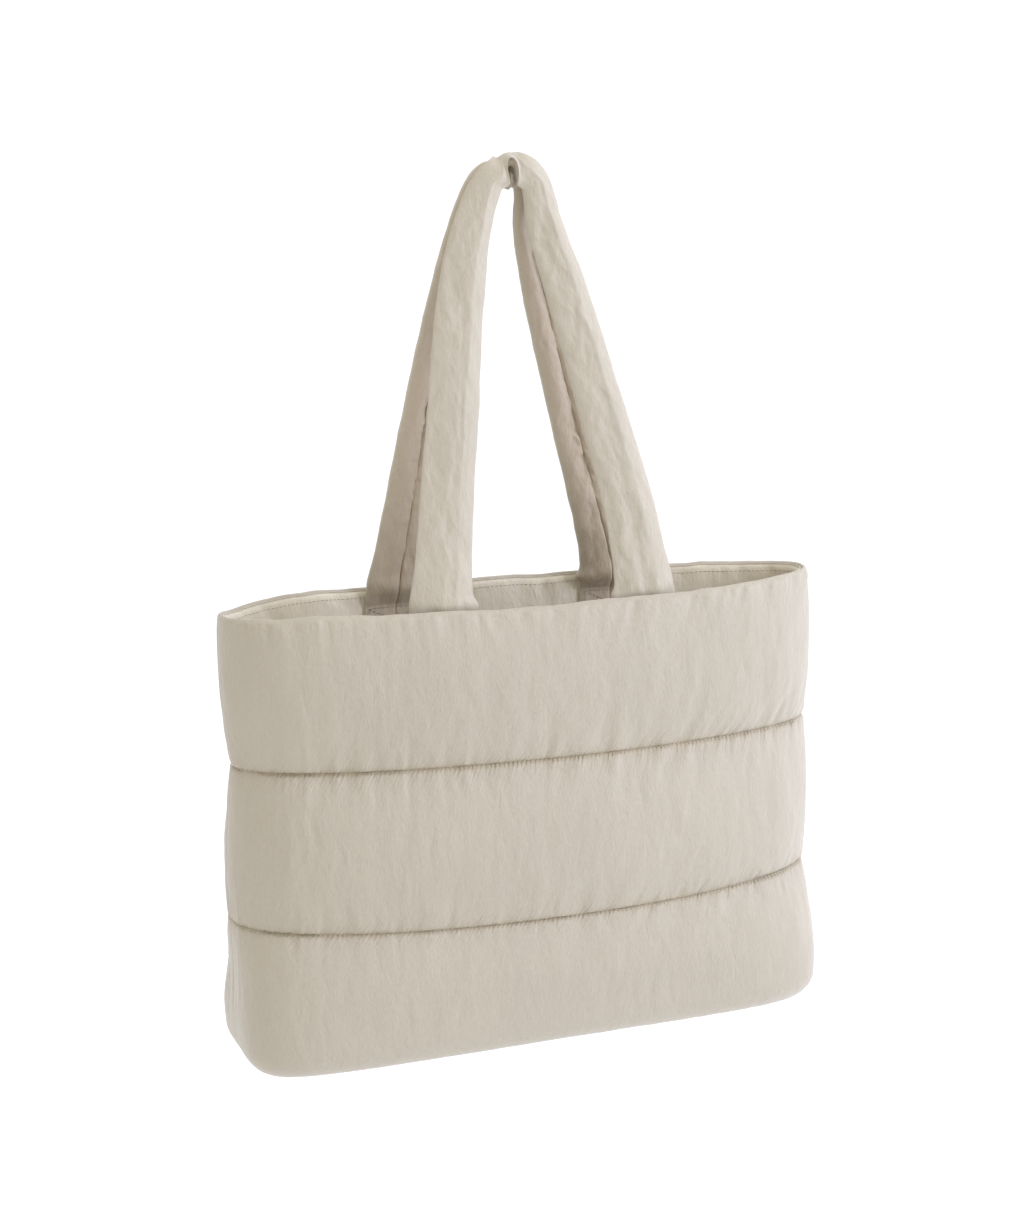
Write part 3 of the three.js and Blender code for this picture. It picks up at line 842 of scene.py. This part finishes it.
def strap_swell(key, section, facts):
    """How far a strap's cloth stands out: its folds, ridges and pleats, and the lips of its inner seam."""
    across, hand, inner = section
    seed = 40 + 3 * STRAPS[key]["side"]
    length = facts["length"] + 0 * across
    around = np.where(hand > 0, across, 2 * np.sign(across) - across) * facts["width"] / 2
    bend = 0.7 * noise(length / (50 * MM), around / (20 * MM), 9)
    long_folds = noise(around / (9 * MM) + bend, length / (95 * MM), seed, 2)
    u, v = (around + 0.5 * length) / (17 * MM), (length - 0.5 * around) / (46 * MM)
    slants = 0.5 - np.abs(noise(u, v, seed + 1, 2))
    ridges = 0.5 - np.abs(noise((around - 0.25 * length) / (12 * MM), length / (26 * MM), seed + 5, 3))
    ends = smooth(facts["from_end"] / (22 * MM) - 0.9)
    swell = LONG_FOLD_DEPTH * long_folds + SLANT_DEPTH * slants + RIDGE_DEPTH * ridges
    swell = (swell * lerp(1, 0.5, np.abs(across) ** 4) - 0.3 * MM) * ends * lerp(1, 0.7, facts["crown"])
    if key == "back":
        pleats = noise(around / (3.5 * MM), length / (40 * MM), seed + 8)
        swell = swell + PLEAT_DEPTH * pleats * smooth((facts["crown"] - 0.6) / 0.3)
    lips = noise(length / (6 * MM), around / (9 * MM), seed + 12, 2) * np.exp(-(across / 0.3) ** 2) * inner
    swell = swell + LIP_DEPTH * lips * smooth((facts["fold"] - 0.15) / 0.3) * ends
    return np.clip(swell, -2 * MM, 0.9 * MM)


def make_strap(name, key):
    """A padded tube with one long seam down its inner face, where it folds in two towards the crown."""
    middles, wides, thicks, facts = strap_grid(key)
    wides, thicks = wides[:, None, :], thicks[:, None, :]
    facts["from_end"] = np.minimum(facts["length"], facts["total"] - facts["length"])
    width, thickness, crown = facts["width"], facts["thickness"], facts["crown"]
    soft = smooth((thickness - TAB_THICKNESS) / (STRAP_THICKNESS - TAB_THICKNESS))
    soft_square = lerp(STRAP_ROUND, CROWN_SQUARE, crown ** 3)
    across, over, hand = section_shape(lerp(facts["square"], soft_square, soft))
    inner = (1 - hand) / 2
    reach = np.abs(across) * width / 2
    half = width / 2 - EDGE_TRIM
    flat_lift = thickness / 2 - FACE_TRIM
    points = middles[:, None, :] + wides * (across * half)[..., None]

    crease = np.exp(-reach / MM) * SEAM_CREASE
    length = facts["length"] + 0 * across
    wander = 0.1 * noise(length / (40 * MM), 0 * length, 43 + 3 * STRAPS[key]["side"])
    valley = np.exp(-((across + wander) / VALLEY_SHARE) ** 2) * VALLEY_DEPTH
    valley = valley * smooth((facts["fold"] - 0.2) / 0.5) * (1 - 0.5 * crown)
    lift = over * flat_lift + inner * (crease + valley) * (1 - np.abs(across) ** 6)
    if key == "front":
        left_part = (facts["length"] < facts["total"] / 2) * 1.0
        ridge = lerp(ROOF_RIDGE, -ROOF_RIDGE, left_part) * (1 - crown)
        slope = np.where(across < ridge, (across + 1) / (ridge + 1), (1 - across) / (1 - ridge))
        roof = np.clip(slope, 0, 1) ** 0.62
        lift = lerp(lift, roof * flat_lift, (hand > 0) * soft * 0.85)

    # The recess between the stacked straps at the crown, and the spread feet above the rim.
    camera_side = -across if key == "front" else across
    mouth = smooth((camera_side - 0.3) / 0.4) * smooth((crown - 0.8) / 0.15)
    if key == "front":
        mouth = mouth * smooth((0.7 - over) / 0.2)
    points = points - wides * (mouth * POCKET_DEPTH * np.sign(across))[..., None]
    puffed_end = np.exp(-((facts["from_end"] - FLARE_PLACE) / FLARE_REACH) ** 2)
    flare = FLARE * puffed_end * smooth(camera_side) * soft
    points = points + wides * (flare * np.sign(across))[..., None]
    lift = lift * (1 + 0.25 * puffed_end * soft)
    points = points + thicks * lift[..., None]

    at_crown = smooth(crown / 0.5 - 0.9)[..., None]
    for _ in range(CROWN_PASSES):
        even = points.copy()
        even[1:-1] = (points[:-2] + 2 * points[1:-1] + points[2:]) / 4
        points = lerp(points, even, at_crown)
    sideways = wides * (np.sign(across) * np.abs(across) ** 2 / half)[..., None]
    outward = unit(sideways + thicks * (over / thickness)[..., None])
    points = points + outward * strap_swell(key, (across, hand, inner), facts)[..., None]
    points[:, -1] = points[:, 0]
    sheets = Sheets()
    # The gap also falls to 1 in the crown recess, so that the fabric paints shade there.
    gap = np.minimum(1.8 + reach / MM + FAR_GAP * (1 - inner), lerp(FAR_GAP, 1, mouth))
    # The inner attribute marks the strap's inner face, where the fabric paints shade.
    index = sheets.add(points, True, inner=inner * (1 - np.abs(across) ** 8), run=0, gap=gap)
    sheets.cap(index[0])
    sheets.cap(index[-1], True)
    return sheets.piece(name)


# Stitches, as small threads joined into one mesh for each run of sewing.

THREAD_SIDES = 5
THREAD_THICKNESS = 0.5 * MM
THREAD_LIFT = 0.15 * MM
STITCH_SHARE = 0.74
SEAM_STITCH_LIFT = 1.0 * MM


def stitch_run(sheets, path, normals, lift=THREAD_LIFT):
    """Stitches along a path of points, each a short thread whose ends dip into the cloth."""
    steps = np.linalg.norm(np.diff(path, axis=0), axis=1)
    lengths = np.concatenate([[0], np.cumsum(steps)])
    count = max(int(lengths[-1] / STITCH_STEP), 1)
    angle = np.linspace(0, 2 * np.pi, THREAD_SIDES + 1)[None, :, None]
    dip = np.array([-0.7, 1, 1, -0.7])[:, None] * lift
    radius = np.array([0.35, 1, 1, 0.35])[:, None, None] * THREAD_THICKNESS / 2
    for stitch in range(count):
        start = stitch * lengths[-1] / count
        along = start + np.linspace(0, 1, 4) * STITCH_SHARE * lengths[-1] / count
        points = np.stack([np.interp(along, lengths, path[:, k]) for k in range(3)], axis=-1)
        up = unit(np.stack([np.interp(along, lengths, normals[:, k]) for k in range(3)], axis=-1))
        direction = unit(points[-1] - points[0])
        wide = unit(np.cross(up, direction))
        ring = wide[:, None, :] * np.cos(angle) + up[:, None, :] * np.sin(angle)
        index = sheets.add((points + up * dip)[:, None, :] + ring * radius)
        sheets.cap(index[0], True)
        sheets.cap(index[-1])


def quilting_stitches(name, outer, side):
    """The stitches of both quilting seams of one panel, in the bottom of the creases."""
    sheets = Sheets()
    normals = grid_normals(outer) * -side
    for row in SEAM_ROWS:
        fine = 2 * row
        level = unit(normals[fine] * [1, 1, 0])
        stitch_run(sheets, outer[fine][3:-3], level[3:-3], SEAM_STITCH_LIFT)
    return sheets.piece(name)


def rim_stitches(name, lining):
    """The topstitching that runs round inside the rim."""
    sheets = Sheets()
    row = int(np.argmin(np.abs(lining[0, 0, 2] - lining[:, 0, 2] - RIM_STITCH_DEPTH)))
    path = np.concatenate([lining[row], lining[row][:1]])
    centre = np.array([BODY_OFFSET, 0, 0])
    toward = unit((centre - path) * [0.15, 1, 0])
    stitch_run(sheets, path, toward)
    return sheets.piece(name)


TAB_BOX_MARGIN = 4 * MM
TAB_BOX_TOP = 0.36 * TAB_LENGTH
TAB_BOX_FOOT = 0.92 * TAB_LENGTH


def tab_stitches(name):
    """A stitched box with a cross in it on each strap's end tab."""
    sheets = Sheets()
    half = STRAP_WIDTH / 2 - TAB_BOX_MARGIN
    corners = [(-half, TAB_BOX_TOP), (half, TAB_BOX_TOP), (half, TAB_BOX_FOOT), (-half, TAB_BOX_FOOT)]
    lines = [(corners[i], corners[(i + 1) % 4]) for i in range(4)]
    lines += [(corners[0], corners[2]), (corners[1], corners[3])]
    depth = TAB_GAP + TAB_THICKNESS + 0.05 * MM
    for strap in STRAPS.values():
        side = strap["side"]
        for hand in (-1, 1):
            foot = strap["centre"] + hand * strap["spread"] / 2
            rim = rim_height(foot)
            for first, second in lines:
                path, normals = [], []
                for share in np.linspace(0, 1, 14):
                    across = lerp(first[0], second[0], share)
                    below = lerp(first[1], second[1], share)
                    wall_y, normal = lining_at(side, foot, below)
                    y = wall_y - normal[1] * depth - normal[0] * across / normal[1]
                    path.append([foot + across, y, rim - below])
                    normals.append(-normal)
                stitch_run(sheets, np.array(path), np.array(normals))
    return sheets.piece(name)


# Materials.

class Shader:
    """Short ways to add and link nodes in one material, from the values of its main shader."""

    def __init__(self, name, values):
        self.material = bpy.data.materials.new(name)
        self.material.use_nodes = True
        self.nodes = self.material.node_tree.nodes
        self.links = self.material.node_tree.links
        self.principled = self.nodes["Principled BSDF"]
        for key, value in values.items():
            self.principled.inputs[key].default_value = value

    def node(self, kind, values=None, links=None, **settings):
        node = self.nodes.new(kind)
        for key, value in settings.items():
            setattr(node, key, value)
        for key, value in (values or {}).items():
            node.inputs[key].default_value = value
        for key, source in (links or {}).items():
            self.links.new(source, node.inputs[key])
        return node

    def math(self, operation, first, second=None):
        node = self.node("ShaderNodeMath", operation=operation)
        for socket, value in zip(node.inputs, (first, second)):
            if isinstance(value, (int, float)):
                socket.default_value = value
            elif value is not None:
                self.links.new(value, socket)
        return node.outputs[0]

    def bump(self, height, strength, distance, before=None):
        node = self.node("ShaderNodeBump", {"Strength": strength, "Distance": distance}, {"Height": height})
        if before is not None:
            self.links.new(before, node.inputs["Normal"])
        return node.outputs["Normal"]

    def noise(self, place, scale, detail, **values):
        values = {"Scale": scale, "Detail": detail, **values}
        return self.node("ShaderNodeTexNoise", values, {"Vector": place}).outputs["Fac"]

    def attribute(self, name):
        return self.node("ShaderNodeAttribute", attribute_name=name).outputs["Fac"]

    def fading(self, gap, rate):
        """1 at gap 0, falling away with the gap."""
        return self.math("POWER", math.e, self.math("MULTIPLY", gap, -rate))

    def ramp(self, tone, colour, low, high):
        """The colour darkened by low and lightened by high, along the tone."""
        ramp = self.node("ShaderNodeValToRGB", links={"Fac": tone})
        ramp.color_ramp.elements[0].color = (*[c * low for c in colour], 1)
        ramp.color_ramp.elements[1].color = (*[c * high for c in colour], 1)
        return ramp

    def multiplied(self, surface, shade_tint, factor):
        node = self.node("ShaderNodeMix", data_type="RGBA", blend_type="MULTIPLY")
        self.links.new(factor, node.inputs["Factor"])
        self.links.new(surface, node.inputs["A"])
        node.inputs["B"].default_value = (*shade_tint, 1)
        return node.outputs["Result"]


def fabric(name, colour, inner_shade_colour=None):
    """Crinkled nylon: a cloudy tone, fine upright creases, a plain weave and dimples along the seams, with
    painted shade darkening the seams, the crown recess and, when given, the straps' inner faces.
    """
    shader = Shader(name, {
        "Roughness": 0.6, "Specular IOR Level": 0.35, "Sheen Weight": 0.35, "Sheen Roughness": 0.45,
    })
    place = shader.node("ShaderNodeTexCoord").outputs["Object"]
    stretched = shader.node("ShaderNodeMapping", {"Scale": (1, 1, 0.45)}, {"Vector": place}).outputs[0]
    cloud = shader.noise(stretched, 24, 3)
    fleck = shader.noise(stretched, 620, 2)
    tone = shader.math("ADD", shader.math("MULTIPLY", cloud, 0.5), shader.math("MULTIPLY", fleck, 0.5))
    ramp = shader.ramp(tone, colour, 0.96, 1.035)
    ramp.color_ramp.elements[0].position = 0.34
    ramp.color_ramp.elements[1].position = 0.66
    surface = ramp.outputs["Color"]
    # Painted shade: the straps' inner faces, where the stacked straps shade each other, are darkened.
    if inner_shade_colour:
        shade_tint = [i / c for i, c in zip(inner_shade_colour, colour)]
        surface = shader.multiplied(surface, shade_tint, shader.attribute("inner"))
    gap = shader.attribute("gap")
    # Painted shade: the colour is darkened and warmed near the seams and in the strap crown's recess, where
    # the gap attribute is small.
    surface = shader.multiplied(surface, SEAM_SHADE_TINT, shader.fading(gap, 0.45))
    shader.links.new(surface, shader.principled.inputs["Base Color"])

    creases = shader.noise(stretched, 330, 5, Roughness=0.62, Distortion=0.6)
    normal = shader.bump(creases, 0.6, 0.0009)
    folds = shader.noise(stretched, 95, 3, Distortion=0.8)
    normal = shader.bump(folds, 0.35, 0.0020, normal)
    weave = shader.node(
        "ShaderNodeTexWave", {"Scale": 480, "Distortion": 0.4}, {"Vector": place}, bands_direction="Z",
    ).outputs["Fac"]
    normal = shader.bump(weave, 0.12, 0.0002, normal)

    # Streaks that run away from the seams, and the dimples of the stitches in them.
    run = shader.attribute("run")
    slowed = shader.math("MULTIPLY", gap, 0.13)
    beside = shader.node("ShaderNodeCombineXYZ", links={"X": run, "Y": slowed}).outputs[0]
    streaks = shader.math("MULTIPLY", shader.noise(beside, 0.5, 3), shader.fading(gap, 0.1))
    normal = shader.bump(streaks, 0.7, 0.0022, normal)
    wave = shader.math("SINE", shader.math("MULTIPLY", run, 2 * math.pi * MM / STITCH_STEP))
    dimples = shader.math("MULTIPLY", wave, shader.fading(gap, 0.6))
    normal = shader.bump(dimples, 0.45, 0.0007, normal)
    shader.links.new(normal, shader.principled.inputs["Normal"])
    return shader.material


def thread(name, colour):
    """Twisted thread."""
    shader = Shader(name, {"Roughness": 0.5, "Sheen Weight": 0.3})
    place = shader.node("ShaderNodeTexCoord").outputs["Object"]
    twist = shader.noise(place, 900, 2)
    ramp = shader.ramp(twist, colour, 0.85, 1.1)
    shader.links.new(ramp.outputs["Color"], shader.principled.inputs["Base Color"])
    shader.links.new(shader.bump(twist, 0.5, 0.0002), shader.principled.inputs["Normal"])
    return shader.material


SHELL_COLOUR = (0.400, 0.353, 0.275)
STRAP_COLOUR = (0.424, 0.375, 0.292)
# The straps' inner faces get a painted shade, darker than their outer faces.
STRAP_INNER_SHADE_COLOUR = (0.425, 0.352, 0.258)
# Painted light: the lining is coloured lighter than the shell, to stand in for light that the inside of the
# bag does not get.
LINING_PAINTED_LIGHT_COLOUR = (0.62, 0.555, 0.43)
THREAD_COLOUR = (0.43, 0.375, 0.285)
LINING_THREAD_COLOUR = (0.25, 0.20, 0.14)
# Painted shade for the seam creases and the crown recess.
SEAM_SHADE_TINT = (0.98, 0.92, 0.80)


# Camera, light and room.

CAMERA_PLACE = (-0.6492, -1.6684, 0.1022)
CAMERA_FORWARD = (0.3533, 0.9061, -0.2326)


def aim(obj, place, forward):
    """Puts a camera or a light at a place, looking along forward with Z upward."""
    forward = Vector(forward).normalized()
    right = forward.cross(Vector((0, 0, 1))).normalized()
    up = right.cross(forward)
    obj.matrix_world = Matrix.Translation(place) @ Matrix((right, up, -forward)).transposed().to_4x4()


def make_camera():
    data = bpy.data.cameras.new("camera")
    data.sensor_fit = "VERTICAL"
    data.sensor_height = 36
    data.lens = 70.3
    camera = bpy.data.objects.new("camera", data)
    bpy.context.collection.objects.link(camera)
    aim(camera, CAMERA_PLACE, CAMERA_FORWARD)
    bpy.context.scene.camera = camera


def make_light(name, place, target, size, power, colour):
    data = bpy.data.lights.new(name, "AREA")
    data.shape = "DISK"
    data.size = size
    data.energy = power
    data.color = colour
    light = bpy.data.objects.new(name, data)
    bpy.context.collection.objects.link(light)
    aim(light, place, Vector(target) - Vector(place))


FLOOR_HEIGHT = -1.1
ROOM_RADIUS = 5.0
COVE_RADIUS = 1.2
COVE_STEPS = 8
ROOM_SIDES = 64
WALL_HEIGHT = 3.2


def make_room():
    """A round white floor that turns up into a low wall."""
    profile = [(0.001, FLOOR_HEIGHT), (ROOM_RADIUS / 2, FLOOR_HEIGHT)]
    for step in range(COVE_STEPS + 1):
        angle = math.pi / 2 * step / COVE_STEPS
        reach = ROOM_RADIUS + COVE_RADIUS * math.sin(angle)
        profile.append((reach, FLOOR_HEIGHT + COVE_RADIUS * (1 - math.cos(angle))))
    profile.append((ROOM_RADIUS + COVE_RADIUS, FLOOR_HEIGHT + WALL_HEIGHT))
    turn = np.linspace(0, 2 * np.pi, ROOM_SIDES + 1)
    grid = np.array([[(r * math.cos(a), r * math.sin(a), z) for a in turn] for r, z in profile])
    sheets = Sheets()
    sheets.add(grid, True)
    room = sheets.object("floor")
    shader = Shader("floor_white", {
        "Base Color": (0.9, 0.9, 0.9, 1), "Roughness": 0.9,
        "Emission Color": (1, 1, 1, 1), "Emission Strength": 0.12,
    })
    room.data.materials.append(shader.material)


def make_world():
    world = bpy.data.worlds.new("world")
    world.use_nodes = True
    background = world.node_tree.nodes["Background"]
    background.inputs["Color"].default_value = (1, 1, 1, 1)
    background.inputs["Strength"].default_value = 1.02
    bpy.context.scene.world = world


bpy.context.scene.view_settings.view_transform = "Standard"
make_camera()
make_room()
make_world()
make_light("key", (2.5, -1.3, 0.7), (0, 0, -0.35), 1.4, 80, (0.70, 0.76, 1.0))
make_light("top", (0.1, -0.15, 1.7), (0, 0, -0.3), 1.2, 8, (1.0, 0.98, 0.95))

shell = fabric("shell_fabric", SHELL_COLOUR)
inside = fabric("lining_fabric", LINING_PAINTED_LIGHT_COLOUR)
strap_cloth = fabric("strap_fabric", STRAP_COLOUR, STRAP_INNER_SHADE_COLOUR)
shell_thread = thread("shell_thread", THREAD_COLOUR)
lining_thread = thread("lining_thread", LINING_THREAD_COLOUR)


def finish_piece(obj, material, nodes=()):
    """Gives a piece its material and body, and hides the solids that it replaces."""
    obj.data.materials.append(material)
    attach(obj, "root")
    if nodes:
        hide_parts(*nodes)


for side_name, side in (("front", -1), ("back", 1)):
    quilt, stitches = make_quilt(f"{side_name}_quilt", side)
    finish_piece(quilt, shell, [f"{side_name}_panel"])
    finish_piece(stitches, shell_thread)
    strap = make_strap(f"{side_name}_strap_cloth", side_name)
    finish_piece(strap, strap_cloth, [f"{side_name}_strap"])
lining, stitches = make_lining("lining_cloth")
finish_piece(lining, inside, ["lining"])
finish_piece(stitches, lining_thread)
finish_piece(tab_stitches("tab_stitches"), lining_thread)
